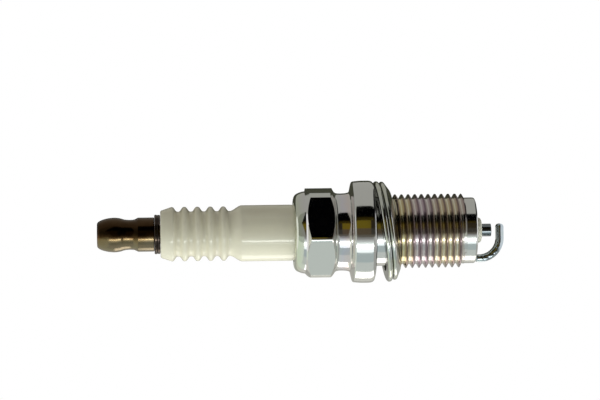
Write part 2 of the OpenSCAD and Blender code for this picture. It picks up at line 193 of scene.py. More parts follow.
def finishPiece(piece, material, body, slot, *nodes, smooth=31):
    pickUp(piece)
    bpy.ops.object.shade_smooth_by_angle(angle=math.radians(smooth))
    # long faces keep their true slope beside small roundings
    flatten = piece.modifiers.new("flat faces", "WEIGHTED_NORMAL")
    flatten.keep_sharp = True
    flatten.thresh = 0.0  # areas here are tiny in m2
    bpy.ops.object.modifier_apply(modifier=flatten.name)
    piece.data.materials.clear()
    piece.data.materials.append(material)
    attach(piece, body)
    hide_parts(*nodes)
    print("finished", piece.name, len(piece.data.polygons), "faces")


# camera: long lens from the side, lying on its side so that the plug runs across the picture

viewpoint = {
    "lens": 150,
    "distance": 0.4687,
    "aim": (0.0061, 0.0, 0.01378),
    "towardsTerminal": 3.2,
    "tilt": 0.73,
}
yaw = math.radians(viewpoint["towardsTerminal"])
tilt = math.radians(viewpoint["tilt"])
back = Vector((0, -math.cos(yaw), math.sin(yaw)))
level = Vector((0, -math.sin(yaw), -math.cos(yaw)))
rightward = level * math.cos(tilt) - Vector((1, 0, 0)) * math.sin(tilt)
upward = level * math.sin(tilt) + Vector((1, 0, 0)) * math.cos(tilt)
startFresh()
bpy.ops.object.camera_add()
camera = bpy.context.object
camera.data.lens = viewpoint["lens"]
camera.data.clip_start = 0.01
camera.data.clip_end = 20
place = Matrix((rightward, upward, back)).transposed().to_4x4()
place.translation = Vector(viewpoint["aim"]) + back * viewpoint["distance"]
camera.matrix_world = place
bpy.context.scene.camera = camera
print("camera placed")


# stage: pale floor under the strap, and tall curved cards round the plug

def seenAsWhite(tree):
    # 1 for the camera, mirrors and glass, 0 for light on matt pieces
    path = addNode(tree, "ShaderNodeLightPath")
    seen = path.outputs["Is Camera Ray"]
    for kind in ("Is Glossy Ray", "Is Transmission Ray"):
        either = addNode(tree, "ShaderNodeMath", {0: seen, 1: path.outputs[kind]}, operation="MAXIMUM")
        seen = either.outputs[0]
    return seen


# kept small, as the strap mirrors it
floorLook = {"radius": 4.5, "below": 0.02, "glowShare": 0.8, "glow": 1.18}
startFresh()
bpy.ops.mesh.primitive_circle_add(vertices=96, radius=floorLook["radius"] * mm, fill_type="NGON",
                                  location=(0, 0, cadBox[0][2] - floorLook["below"] * mm))
floor = bpy.context.object
floor.name = "studioFloor"
bpy.ops.object.transform_apply()
paleFloor = newMaterial("palePaperFloor")  # white to the eye, with a faint soft shadow
tree = paleFloor.node_tree
share = addNode(tree, "ShaderNodeMath", {0: seenAsWhite(tree), 1: floorLook["glowShare"]},
                operation="MULTIPLY")
paper = addNode(tree, "ShaderNodeBsdfDiffuse", {"Color": linear("#f2f2f0")})
glow = addNode(tree, "ShaderNodeEmission", {"Color": (1, 1, 1, 1), "Strength": floorLook["glow"]})
mixed = addNode(tree, "ShaderNodeMixShader", {0: share.outputs[0], 1: paper.outputs[0], 2: glow.outputs[0]})
addNode(tree, "ShaderNodeOutputMaterial", {"Surface": mixed.outputs[0]})
floor.data.materials.append(paleFloor)

# from and to in degrees, counted upwards in the picture from the camera's side; low end, high end and
# distance from the axis in m; linear light
cards = {
    "darkBehind": (150, 180, -0.75, 0.75, 0.36, (0.055, 0.057, 0.040)),
    "greyOverhead": (60, 150, -0.21, 0.75, 0.36, (0.41, 0.41, 0.38)),
    "darkOverhead": (60, 150, -0.75, -0.21, 0.36, (0.02, 0.02, 0.02)),
    "blackFlag": (33, 60, -0.42, 0.36, 0.36, (0.0004, 0.0004, 0.0006)),
    "brownShade": (26, 33, -0.42, 0.36, 0.36, (0.030, 0.021, 0.003)),
    "brownBench": (8, 26, -0.038, 0.36, 0.36, (0.145, 0.108, 0.010)),
    "darkBench": (8, 26, -0.42, -0.038, 0.36, (0.026, 0.020, 0.013)),
    "dimFront": (-6, 8, -0.038, 0.36, 0.36, (0.090, 0.068, 0.042)),
    "dimBench": (-6, 8, -0.42, -0.038, 0.36, (0.046, 0.042, 0.034)),
    "dimEdge": (-12, -6, -0.42, 0.36, 0.36, (0.115, 0.105, 0.085)),
    "hazeAbove": (-12, 60, 0.0, 0.80, 0.40, (0.28, 0.29, 0.25)),
    "glowBelow": (-12, 60, -1.20, 0.0, 0.40, (0.25, 0.25, 0.25)),
    "hazeBeside": (-30, -12, 0.0, 0.80, 0.40, (0.50, 0.56, 0.48)),
    "paleBeside": (-180, -30, 0.0, 0.80, 0.40, (0.76, 0.84, 0.73)),
    "greyBeside": (-180, -12, -0.80, 0.0, 0.40, (0.42, 0.43, 0.41)),
    "firstLight": (-17, -12, -0.15, 0.15, 0.36, (0.27, 0.27, 0.26)),
    "secondLight": (-22, -17, -0.15, 0.15, 0.36, (0.52, 0.54, 0.53)),
    "thirdLight": (-26, -22, -0.15, 0.15, 0.36, (0.86, 0.93, 0.91)),
    "fourthLight": (-29.5, -26, -0.15, 0.15, 0.36, (1.35, 1.46, 1.43)),
    "tubeLight": (-36, -29.5, -0.15, 0.15, 0.36, (6.0, 6.3, 6.1)),
    "softLight": (-47, -36, -0.15, 0.15, 0.36, (1.30, 1.42, 1.42)),
    "blueCard": (-72, -47, -0.15, 0.15, 0.36, (0.47, 0.55, 0.55)),
    "paleCard": (-102, -72, -0.15, 0.15, 0.36, (0.63, 0.68, 0.65)),
    "whiteCard": (-128, -102, -0.15, 0.05, 0.36, (2.60, 2.55, 2.40)),
    "greyBelow": (-150, -128, -0.75, 0.75, 0.36, (0.70, 0.70, 0.64)),
    "greyBehind": (-180, -150, -0.75, 0.75, 0.36, (0.45, 0.45, 0.41)),
    "softFill": (-128, -24, -0.78, 0.78, 0.38, (1.48, 1.52, 1.42)),
    "softTop": (60, 150, -0.21, 0.76, 0.35, (0.66, 0.66, 0.60)),
}
# the dark cards rise to a blunt peak, seen from the plug: angle and height in degrees, fall per degree
darkPeak = {"at": 30, "height": 35.0, "fallUp": 0.85, "fallDown": 0.53, "least": 10.0}
darkCards = ("blackFlag", "brownShade", "brownBench", "dimFront", "dimEdge")
mattCards = ("softFill", "softTop")  # no reflection shows these
for name, (fromDeg, toDeg, lowEnd, highEnd, reach, light) in cards.items():
    startFresh()
    bpy.ops.mesh.primitive_plane_add(size=mm)
    card = bpy.context.object
    card.name = name
    bpy.ops.object.mode_set(mode="EDIT")
    bpy.ops.mesh.merge(type="CENTER")
    start = math.radians(fromDeg - 90)
    bpy.ops.transform.translate(value=(reach * math.cos(start), reach * math.sin(start), lowEnd))
    bpy.ops.mesh.extrude_vertices_move(TRANSFORM_OT_translate={"value": (0, 0, highEnd - lowEnd)})
    bpy.ops.mesh.select_all(action="SELECT")
    bpy.ops.mesh.spin(steps=16, angle=math.radians(fromDeg - toDeg), center=(0, 0, 0), axis=(0, 0, 1))
    bpy.ops.object.mode_set(mode="OBJECT")
    if name in darkCards:
        for vertex in card.data.vertices:
            off = math.degrees(math.atan2(vertex.co.y, vertex.co.x)) + 90 - darkPeak["at"]
            rise = darkPeak["height"] - abs(off) * darkPeak["fallUp" if off > 0 else "fallDown"]
            if vertex.co.z > 0:
                vertex.co.z = reach * math.tan(math.radians(max(rise, darkPeak["least"])))
    cardLight = newMaterial(name)
    glow = addNode(cardLight.node_tree, "ShaderNodeEmission", {"Color": light + (1.0,), "Strength": 1.0})
    addNode(cardLight.node_tree, "ShaderNodeOutputMaterial", {"Surface": glow.outputs[0]})
    card.data.materials.append(cardLight)
    card.visible_camera = False
    card.visible_glossy = name not in mattCards

skyLook = {"onMatt": 0.35, "asSeen": 1.0}
scene = bpy.context.scene
scene.view_settings.view_transform = "Standard"
scene.world = bpy.data.worlds.new("whiteStudio")
scene.world.use_nodes = True
tree = scene.world.node_tree
tree.nodes.clear()
strength = mapRange(tree, seenAsWhite(tree), target=(skyLook["onMatt"], skyLook["asSeen"]))
sky = addNode(tree, "ShaderNodeBackground", {"Color": (1, 1, 1, 1), "Strength": strength})
addNode(tree, "ShaderNodeOutputWorld", {"Surface": sky.outputs[0]})
print("stage and light ready")


# materials

def metalSurface(tree, colour, grain, roughness, contrast=(0.3, 0.7), normal=None):
    # fine grain breaks up the gleam; grain in mm
    spot = addNode(tree, "ShaderNodeTexCoord")
    rough = mapRange(tree, addNoise(tree, spot, grain, 3.0), contrast, roughness)
    metal = addNode(tree, "ShaderNodeBsdfPrincipled", {"Base Color": colour, "Metallic": 1.0,
                                                       "Roughness": rough})
    if normal:
        tree.links.new(normal, metal.inputs["Normal"])
    addNode(tree, "ShaderNodeOutputMaterial", {"Surface": metal.outputs[0]})


def cloudColour(tree, size, tints):
    # soft clouds of colour; size in mm
    spot = addNode(tree, "ShaderNodeTexCoord")
    clouds = addNoise(tree, spot, size, 4.0, 0.55)
    return addNode(tree, "ShaderNodeValToRGB", {"Fac": clouds}, stops=tints).outputs["Color"]


# bright zinc plate with clear passivation on turned steel: mirror bright, a breath of pink on the waist,
# green on the lip, and painted shade in grey on the seat under the flange
brightZinc = newMaterial("brightZincPlatedSteel")
tree = brightZinc.node_tree
spot = addNode(tree, "ShaderNodeTexCoord")
axes = addNode(tree, "ShaderNodeSeparateXYZ", {0: spot.outputs["Object"]})
along = mapRange(tree, axes.outputs["Z"], (0.0, 16.0 * mm))
clouds = addNoise(tree, spot, 2.5, 3.0)
high = mapRange(tree, axes.outputs["Z"], (1.0 * mm, 4.0 * mm), (0.0, 0.06))
shift = mapRange(tree, clouds, (0.3, 0.7), (0.0, high))
place = addNode(tree, "ShaderNodeMath", {0: along, 1: shift}, operation="ADD")
# the two lowest stops are painted shade: the seat under the flange is painted darker grey
colour = addNode(tree, "ShaderNodeValToRGB", {"Fac": place.outputs[0]},
                 stops=[(0.0, "#7a7a75"), (0.006, "#858580"), (0.016, "#dddddb"), (0.29, "#dddddb"),
                        (0.34, "#e2d8d6"), (0.41, "#dcd8e0"), (0.48, "#dbdcd9"), (0.80, "#dbdcd9"),
                        (0.86, "#dad8d8"), (0.93, "#d6dacb")])
metalSurface(tree, colour.outputs["Color"], 0.9, (0.08, 0.12))

# folded sheet steel, zinc plated: greyer and more satin than the turned shell, with painted shade on its faces
# under the flange
sheetZinc = newMaterial("zincPlatedSheetSteel")
tree = sheetZinc.node_tree
spot = addNode(tree, "ShaderNodeTexCoord")
plate = cloudColour(tree, 2.5, [(0.30, "#c4c6b4"), (0.50, "#d2d3cb"), (0.70, "#c9cdcd")])
# painted shade: faces that look up sit in the flange's shade and are painted darker
facing = addNode(tree, "ShaderNodeSeparateXYZ", {0: spot.outputs["Normal"]})
shadeUnderFlange = mapRange(tree, facing.outputs["Z"], (0.80, 0.95))
colour = addNode(tree, "ShaderNodeMix", {"Factor": shadeUnderFlange, "A": plate, "B": linear("#6e6e68")},
                 data_type="RGBA")
metalSurface(tree, colour.outputs["Result"], 0.75, (0.12, 0.19))

# nickel alloy of the centre electrode: drawn wire, dark steel grey with a soft gleam
drawnNickel = newMaterial("drawnNickelAlloy")
tree = drawnNickel.node_tree
colour = cloudColour(tree, 1.5, [(0.30, "#757b80"), (0.50, "#868c91"), (0.70, "#7b8387")])
metalSurface(tree, colour, 0.45, (0.06, 0.10))

# nickel alloy of the ground electrode: flat drawn strip, polished blue grey with bright edges
# and a skin puckered by the bending, which breaks its gleam into specks from the root to the bend
stripNickel = newMaterial("polishedNickelStrip")
tree = stripNickel.node_tree
spot = addNode(tree, "ShaderNodeTexCoord")
axes = addNode(tree, "ShaderNodeSeparateXYZ", {0: spot.outputs["Object"]})
colour = cloudColour(tree, 1.2, [(0.30, "#a9b6c0"), (0.50, "#bcc5cb"), (0.70, "#b4c2c0")])
bent = mapRange(tree, axes.outputs["X"], (-1.6 * mm, -3.2 * mm), (0.05, 1.0))
pucker = addNoise(tree, spot, 0.7, 1.0)
bump = addNode(tree, "ShaderNodeBump", {"Height": pucker, "Strength": bent, "Distance": 0.12 * mm})
metalSurface(tree, colour, 0.36, (0.06, 0.10), normal=bump.outputs[0])

# tarnished nickel over brass, bronze brown, with painted highlight and shade across it: lighter on the lit
# side, nearly black in a painted band just past the middle
tarnishedBrassAndPaintedShade = newMaterial("tarnishedNickelBrassPaintedShade")
tree = tarnishedBrassAndPaintedShade.node_tree
spot = addNode(tree, "ShaderNodeTexCoord")
axes = addNode(tree, "ShaderNodeSeparateXYZ", {0: spot.outputs["Object"]})
# painted highlight and shade: the colour runs across the nut, lighter on the lit side and nearly black in a
# band past the middle
paintedShadeAcross = mapRange(tree, axes.outputs["X"], (-3.2 * mm, 3.2 * mm))
shift = mapRange(tree, addNoise(tree, spot, 2.0, 4.0, 0.6), target=(-0.14, 0.14))
place = addNode(tree, "ShaderNodeMath", {0: paintedShadeAcross, 1: shift}, operation="ADD")
colour = addNode(tree, "ShaderNodeValToRGB", {"Fac": place.outputs[0]},
                 stops=[(0.0, "#857a66"), (0.20, "#84765f"), (0.36, "#7d6a4c"), (0.44, "#573f26"),
                        (0.56, "#2c1f12"), (0.78, "#3f2d1c"), (0.95, "#54412d")])
metalSurface(tree, colour.outputs["Color"], 0.6, (0.13, 0.21))

# blackened steel of the stud: almost black with a satin gleam
blackenedSteel = newMaterial("blackenedSteel")
tree = blackenedSteel.node_tree
colour = cloudColour(tree, 1.2, [(0.30, "#352e2b"), (0.50, "#4a403a"), (0.70, "#655547")])
metalSurface(tree, colour, 0.36, (0.14, 0.22))

# rolled thread, zinc plated: straw yellow near both ends, pink to violet in the middle, and painted shade that
# darkens the crests
rolledZinc = newMaterial("rolledZincThread")
tree = rolledZinc.node_tree
spot = addNode(tree, "ShaderNodeTexCoord")
axes = addNode(tree, "ShaderNodeSeparateXYZ", {0: spot.outputs["Object"]})
along = mapRange(tree, axes.outputs["Z"], (-19.3 * mm, -0.3 * mm))
shift = mapRange(tree, addNoise(tree, spot, 3.0, 3.0), target=(-0.05, 0.05))
place = addNode(tree, "ShaderNodeMath", {0: along, 1: shift}, operation="ADD")
bands = addNode(tree, "ShaderNodeValToRGB", {"Fac": place.outputs[0]},
                stops=[(0.10, "#dddddb"), (0.16, "#ded8d2"), (0.26, "#e4ddc8"), (0.38, "#e3dbc5"),
                       (0.47, "#ddd7d3"), (0.60, "#ded6da"), (0.72, "#e5dec0"), (0.80, "#e4ddc0"),
                       (0.86, "#dddddc")])
flat = addNode(tree, "ShaderNodeCombineXYZ", {"X": axes.outputs["X"], "Y": axes.outputs["Y"]})
out = addNode(tree, "ShaderNodeVectorMath", {0: flat.outputs[0]}, operation="LENGTH")
# painted shade: the colour darkens from the roots out to the crests, with a violet tint
deep = mapRange(tree, out.outputs["Value"], (6.2 * mm, 6.93 * mm))
crestTintAndShade = addNode(tree, "ShaderNodeValToRGB", {"Fac": deep},
               stops=[(0.0, "#ffffff"), (0.35, "#f7f3f7"), (0.60, "#ece4ea"), (0.82, "#ccc0c8"),
                      (1.0, "#9c8e97")])
under = addNode(tree, "ShaderNodeMath", {0: axes.outputs["Z"], 1: -16.8 * mm}, operation="GREATER_THAN")
above = addNode(tree, "ShaderNodeMath", {0: axes.outputs["Z"], 1: -3.3 * mm}, operation="LESS_THAN")
inThread = addNode(tree, "ShaderNodeMath", {0: under.outputs[0], 1: above.outputs[0]}, operation="MULTIPLY")
colour = addNode(tree, "ShaderNodeMix", {"Factor": inThread.outputs[0], "A": bands.outputs["Color"],
                                         "B": crestTintAndShade.outputs["Color"]}, data_type="RGBA", blend_type="MULTIPLY")
metalSurface(tree, colour.outputs["Result"], 0.8, (0.07, 0.17), contrast=(0.0, 1.0))

# glazed alumina: cream white body under a glossy glaze, bare and matt at the firing tip, which painted light
# makes whiter
glazedAlumina = newMaterial("glazedAlumina")
tree = glazedAlumina.node_tree
spot = addNode(tree, "ShaderNodeTexCoord")
axes = addNode(tree, "ShaderNodeSeparateXYZ", {0: spot.outputs["Object"]})
body = addNode(tree, "ShaderNodeValToRGB", {"Fac": addNoise(tree, spot, 5.0, 3.0)},
               stops=[(0.30, "#e4ddca"), (0.50, "#e7e2cf"), (0.70, "#e2dccb")])
specks = addNoise(tree, spot, 0.7, 2.0)
glazed = mapRange(tree, axes.outputs["Z"], (14.9 * mm, 15.5 * mm), (0.55, 0.03))
peel = addNoise(tree, spot, 1.6, 1.0)
relief = addNode(tree, "ShaderNodeMath", {0: peel, 1: specks}, operation="ADD")
bump = addNode(tree, "ShaderNodeBump", {"Height": relief.outputs[0], "Strength": 0.03, "Distance": 0.02 * mm})
# painted light: the bare tip is painted whiter, lifting it out of the shade it lies in
bareTipAndPaintedLight = mapRange(tree, axes.outputs["Z"], (-17.0 * mm, -12.0 * mm), (1.0, 0.0))
body = addNode(tree, "ShaderNodeMix", {"Factor": bareTipAndPaintedLight, "A": body.outputs["Color"], "B": linear("#f7f4e6")},
               data_type="RGBA")
clay = addNode(tree, "ShaderNodeBsdfPrincipled", {"Base Color": body.outputs["Result"], "IOR": 1.60,
                                                  "Roughness": glazed, "Normal": bump.outputs[0]})
addNode(tree, "ShaderNodeOutputMaterial", {"Surface": clay.outputs[0]})


def pressedMass(name, stops, grain, roughness, metallic=0.0):
    # grainy filler inside the plug; grain in mm
    material = newMaterial(name)
    tree = material.node_tree
    spot = addNode(tree, "ShaderNodeTexCoord")
    grains = addNode(tree, "ShaderNodeTexVoronoi", {"Vector": spot.outputs["Object"], "Scale": 1000 / grain})
    dust = addNoise(tree, spot, grain, 4.0)
    colour = addNode(tree, "ShaderNodeValToRGB", {"Fac": dust}, stops=stops).outputs["Color"]
    bump = addNode(tree, "ShaderNodeBump", {"Height": grains.outputs["Distance"], "Strength": 0.4,
                                            "Distance": 0.05 * mm})
    mass = addNode(tree, "ShaderNodeBsdfPrincipled", {"Base Color": colour, "Metallic": metallic,
                                                      "Roughness": roughness, "Normal": bump.outputs[0]})
    addNode(tree, "ShaderNodeOutputMaterial", {"Surface": mass.outputs[0]})
    return material


sealGlass = pressedMass("conductiveSealGlass", [(0.3, "#4a5560"), (0.7, "#7a7f80")], 0.5, 0.25)
resistorMass = pressedMass("carbonResistorGlass", [(0.3, "#17171a"), (0.7, "#3a3a3c")], 0.4, 0.6)
talcPowder = pressedMass("pressedTalc", [(0.3, "#d4d0c4"), (0.7, "#e6e3da")], 0.25, 0.8)
copperCore = pressedMass("drawnCopper", [(0.3, "#b86a45"), (0.7, "#d98d66")], 0.8, 0.3, metallic=1.0)
packingWire = pressedMass("annealedSteelWire", [(0.3, "#8a8b8c"), (0.7, "#a7a8a9")], 0.5, 0.35, metallic=1.0)
print("materials ready")

# pieces shut inside the shell and insulator keep their CAD shape
insideFinish = {
    "upper_glass_seal": sealGlass,
    "lower_glass_seal": sealGlass,
    "resistor": resistorMass,
    "electrode_core": copperCore,
    "upper_packing_ring": packingWire,
    "lower_packing_ring": packingWire,
    "seat_washer": packingWire,
    "talc_packing": talcPowder,
}
for node, material in insideFinish.items():
    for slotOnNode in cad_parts[node].material_slots:
        slotOnNode.material = material


# insulator

insulatorSize = {
    "barrel": (5.25, 15.1, 24.8),     # radius, from, to
    "ribCrest": 5.09,
    "ribValley": 4.20,
    "ribPitch": 2.42,
    "ribs": 5,
    "valleyZ": 27.0,
    "flankSteepness": 0.75,
    "topZ": 39.99,
    "topRadius": 4.5,
    "tipZ": -20.25,
}


def insulatorOutline(size):
    radius, lowZ, highZ = size["barrel"]
    outline = [(1.22, -3.0), (1.22, size["tipZ"])]
    outline += arcPoints((1.75, size["tipZ"] + 0.65), 0.65, -90, 0, 8)
    outline += [(3.25, -7.312), (4.28, -6.717), (4.28, 1.58), (5.88, 3.18), (5.88, 10.01), (5.19, 10.7)]
    outline += [(5.19, lowZ), (radius, lowZ + 0.6)]
    # straight sweep with soft ends, from the barrel into the first valley
    sweepTurns = 14
    for k in range(sweepTurns):
        t = k / sweepTurns
        fall = 0.5 * t + 0.5 * (1 - math.cos(math.pi * t)) / 2
        soft = t * t * (3 - 2 * t)
        outline.append((radius + (size["ribValley"] - radius) * (0.45 * fall + 0.55 * soft),
                        highZ + (size["valleyZ"] - highZ) * t))
    stepsPerRib = 20
    for k in range(int(stepsPerRib * (size["ribs"] - 0.5)) + 1):
        swing = (1 - math.cos(math.tau * k / stepsPerRib)) / 2
        swing += size["flankSteepness"] * (swing * swing * (3 - 2 * swing) - swing)
        outline.append((size["ribValley"] + (size["ribCrest"] - size["ribValley"]) * swing,
                        size["valleyZ"] + size["ribPitch"] * k / stepsPerRib))
    outline += arcPoints((size["topRadius"] - 0.4, size["topZ"] - 0.4), 0.4, 15, 90, 6)
    outline += [(2.15, size["topZ"]), (1.95, size["topZ"] - 0.2), (1.95, -3.0), (1.22, -3.0)]
    return outline


insulator = turnOnLathe("insulatorBody", insulatorOutline(insulatorSize), 144)
finishPiece(insulator, glazedAlumina, "plug", "glazed_alumina", "insulator")


# terminal nut and the stud that carries it

nutSize = {
    "bore": 2.05, "mouth": 0.12, "topZ": 51.78,
    "footZ": 41.13, "foot": 3.19, "footRound": 0.15,
    # from the top of the foot into the snap groove
    "groove": [(3.19, 44.10), (3.16, 44.22), (3.08, 44.36), (2.97, 44.58), (2.88, 44.78), (2.825, 45.00),
               (2.795, 45.30), (2.785, 45.60), (2.792, 45.90), (2.81, 46.20), (2.845, 46.52), (2.91, 46.83),
               (2.985, 47.06), (3.06, 47.28), (3.13, 47.56), (3.185, 47.88), (3.22, 48.20)],
    "head": [(3.235, 48.55), (3.225, 48.90), (3.19, 49.30), (3.14, 49.70), (3.06, 50.08), (2.97, 50.44),
             (2.86, 50.80), (2.73, 51.12), (2.58, 51.40), (2.42, 51.61), (2.28, 51.73)],
}
bore, footZ, topZ = nutSize["bore"], nutSize["footZ"], nutSize["topZ"]
nutFoot = [(bore, footZ), (nutSize["foot"], footZ, nutSize["footRound"]), nutSize["groove"][0]]
nutOutline = softenCorners(nutFoot, 4)[:-1] + nutSize["groove"] + nutSize["head"]
nutOutline += [(bore + nutSize["mouth"], topZ), (bore, topZ - nutSize["mouth"]), (bore, footZ)]
nut = turnOnLathe("terminalNut", nutOutline, 112)
finishPiece(nut, tarnishedBrassAndPaintedShade, "nut", "nut_metal", "terminal_nut")


def windThread(name, cut):
    # one pitch drawn as a line, wound up the axis, then trimmed to its two ends
    pitch, crest, root = cut["pitch"], cut["crest"], cut["root"]
    rootArc = [(root + cut["rootRound"] + r, z) for r, z in arcPoints((0, 0), cut["rootRound"], 180, 120, 5)]
    crestStart = rootArc[-1][1] + (crest - rootArc[-1][0]) * math.tan(math.radians(30))
    z0 = cut["crestZ"] - pitch / 2
    while z0 > cut["lowZ"] - 1.2 * pitch:
        z0 -= pitch
    corners = rootArc + [(crest, z, cut["crestRound"]) for z in (crestStart, pitch - crestStart)]
    corners += [(r, pitch - z) for r, z in reversed(rootArc)]
    piece = drawLine(name, [(r, z + z0) for r, z in softenCorners(corners, 4)])
    bpy.ops.object.mode_set(mode="OBJECT")
    winding = piece.modifiers.new("winding", "SCREW")
    winding.axis = "Z"
    winding.angle = math.tau
    winding.screw_offset = pitch * mm
    winding.iterations = math.ceil((cut["highZ"] - z0) / pitch) + 1
    winding.steps = winding.render_steps = cut["steps"]
    pickUp(piece)
    bpy.ops.object.modifier_apply(modifier=winding.name)
    endSnap = 0.003  # mm, what lies this near an end joins its ring
    for vertex in piece.data.vertices:
        x, y, z = (c / mm for c in vertex.co)
        radius = math.hypot(x, y)
        if z < cut["lowZ"] + endSnap:
            z, wanted = cut["lowZ"], cut["lowRadius"]
        elif z > cut["highZ"] - endSnap:
            z, wanted = cut["highZ"], cut["highRadius"]
        else:
            wanted = min(radius, cut["lowRadius"] + (z - cut["lowZ"]) * cut["lowSlope"],
                         cut["highRadius"] + (cut["highZ"] - z) * cut["highSlope"])
            wanted = max(wanted, cut["highRadius"] - (cut["highZ"] - z) * cut["runOut"])
        vertex.co = (x * wanted / radius * mm, y * wanted / radius * mm, z * mm)
    bpy.ops.object.mode_set(mode="EDIT")
    bpy.ops.mesh.select_all(action="SELECT")
    bpy.ops.mesh.remove_doubles(threshold=weldDistance)
    bpy.ops.object.mode_set(mode="OBJECT")
    return piece


def growRing(piece, startZ, startRadius, route):
    # the open ring at startZ is extruded from (radius, height) to (radius, height)
    pickUp(piece)
    bpy.ops.object.mode_set(mode="EDIT")
    bpy.ops.mesh.select_mode(type="EDGE")
    bpy.ops.mesh.select_all(action="DESELECT")
    bpy.ops.object.mode_set(mode="OBJECT")
    for edge in piece.data.edges:
        edge.select = all(abs(piece.data.vertices[i].co.z - startZ * mm) < sameHeight for i in edge.vertices)
    bpy.ops.object.mode_set(mode="EDIT")
    radius, z = startRadius, startZ
    for nextRadius, nextZ in route:
        bpy.ops.mesh.extrude_edges_move(TRANSFORM_OT_translate={"value": (0, 0, (nextZ - z) * mm)})
        ratio = nextRadius / radius
        bpy.ops.transform.resize(value=(ratio, ratio, 1), center_override=(0, 0, 0))
        radius, z = nextRadius, nextZ
    bpy.ops.object.mode_set(mode="OBJECT")


studSize = {
    "pitch": 0.7, "crest": 1.98, "root": 1.58, "crestRound": 0.04, "rootRound": 0.08, "steps": 64,
    "crestZ": 41.81,
    "lowZ": 41.11, "lowRadius": 1.6, "lowSlope": 1.2,
    "highZ": 50.50, "highRadius": 1.55, "highSlope": 1.0, "runOut": 2.0,
    "collar": [(3.69, 41.11, 0.18), (3.70, 40.65, 0.12), (3.50, 40.60, 0.04), (3.66, 40.55, 0.12),
               (3.66, 40.01, 0.2)],
    "shaft": [(1.7, 40.01), (1.7, 17.9)],
    "teeth": [(1.45, 17.4), (1.7, 16.9), (1.45, 16.4), (1.7, 15.9), (1.45, 15.4)],
    "foot": [(1.45, 14.96), (0.3, 14.96)],
    "top": [(1.0, 50.50), (0.3, 50.50)],
}
stud = windThread("terminalStud", studSize)
downward = [(studSize["lowRadius"], studSize["lowZ"])]
for part in ("collar", "shaft", "teeth", "foot"):
    downward += studSize[part]
growRing(stud, studSize["lowZ"], studSize["lowRadius"], softenCorners(downward, 4)[1:])
growRing(stud, studSize["highZ"], studSize["highRadius"], studSize["top"])
pickUp(stud)
bpy.ops.object.mode_set(mode="EDIT")
bpy.ops.mesh.select_all(action="DESELECT")
bpy.ops.mesh.select_non_manifold()
bpy.ops.mesh.fill_holes(sides=0)
closeUp()
finishPiece(stud, blackenedSteel, "plug", "stud_steel", "terminal_stud")


# shell: threaded shank, flange with waist, hexagon, crimped lip

shankSize = {
    "pitch": 1.25, "crest": 6.93, "root": 6.17, "crestRound": 0.04, "rootRound": 0.20, "steps": 120,
    "crestZ": -4.0625,
    "lowZ": -16.95, "lowRadius": 6.175, "lowSlope": 1.7,
    "highZ": -3.20, "highRadius": 6.45, "highSlope": 0.9, "runOut": 2.0,
    "nose": [(6.175, -19.0, 0.4), (4.75, -19.0, 0.15), (4.5, -18.75)],
    "inside": [(4.5, -10.9), (3.6, -10.0, 0.1), (3.6, -7.6, 0.1), (4.4, -7.138), (4.4, 1.4), (6.0, 3.0)],
    "neck": [(6.45, -1.5), (6.45, 0.6), (6.45, 3.0), (6.0, 3.0)],
}
shank = windThread("shellShank", shankSize)
downward = [(shankSize["lowRadius"], shankSize["lowZ"])] + shankSize["nose"] + shankSize["inside"]
growRing(shank, shankSize["lowZ"], shankSize["lowRadius"], softenCorners(downward, 6)[1:])
growRing(shank, shankSize["highZ"], shankSize["highRadius"], shankSize["neck"])
pickUp(shank)
bpy.ops.object.mode_set(mode="EDIT")
closeUp()
finishPiece(shank, rolledZinc, "plug", "plated_steel", "shell")

flangeSize = {
    "seat": [(6.30, 0.0), (8.30, 0.0), (8.95, 0.08), (9.24, 0.17), (9.37, 0.30), (9.46, 0.46), (9.525, 0.62)],
    "rim": [(9.56, 0.80), (9.58, 1.02), (9.585, 1.30), (9.585, 2.30), (9.578, 2.58), (9.56, 2.85),
            (9.535, 3.15), (9.51, 3.45), (9.485, 3.72), (9.465, 3.90), (9.43, 4.02), (9.36, 4.11),
            (9.25, 4.17), (9.10, 4.205)],
    "shoulder": [(9.00, 4.225), (7.75, 4.50, 0.15), (7.42, 4.72, 0.3), (7.30, 5.15)],
    "waist": [(7.26, 5.50), (7.235, 5.90), (7.225, 6.25), (7.235, 6.60), (7.265, 6.88), (7.315, 7.10),
              (7.39, 7.28), (7.50, 7.42), (7.62, 7.52), (7.62, 7.9)],
    "inside": [(6.0, 7.9), (6.0, 3.0), (6.30, 3.0), (6.30, 0.0)],
}
flangeOutline = flangeSize["seat"] + flangeSize["rim"] + softenCorners(flangeSize["shoulder"], 5)
flange = turnOnLathe("shellFlange", flangeOutline + flangeSize["waist"] + flangeSize["inside"], 192)
finishPiece(flange, brightZinc, "plug", "plated_steel", "shell")

hexagonSize = {
    "flats": 15.9,
    "corner": 8.83,
    "turn": 22,
    "bore": 6.0,
    "ends": (7.45, 13.10),
    "endRadius": (7.50, 7.66),
    "face": (7.73, 12.78),       # where the turned bevels meet the middle of a flat
    "edge": (8.42, 12.16),       # where they meet a corner
    "middle": 10.3,
    "backCorner": 8.45,          # the corner that stands up at the back is worn, but full to its ends
    "backReach": (30, 8),        # degrees to either side, and how many of them fade
    "frontCorner": 9.1,          # the one that faces the camera is rounded
    "frontRound": 0.52,
    "frontTurn": -120,           # degrees from the back one
    "barLength": 8,              # the bar that its ends are turned from
    "edgeRound": 0.13,
}
middle = hexagonSize["middle"] * mm
startFresh()
bpy.ops.mesh.primitive_cylinder_add(vertices=6, radius=hexagonSize["flats"] / math.sqrt(3) * mm,
                                    depth=hexagonSize["barLength"] * mm, location=(0, 0, middle))
hexagon = bpy.context.object
hexagon.name = hexagon.data.name = "shellHexagon"
hexagon.rotation_euler = (0, 0, math.radians(hexagonSize["turn"] - 90))  # first corner stands at 90 degrees
bpy.ops.object.transform_apply()
bpy.ops.object.mode_set(mode="EDIT")
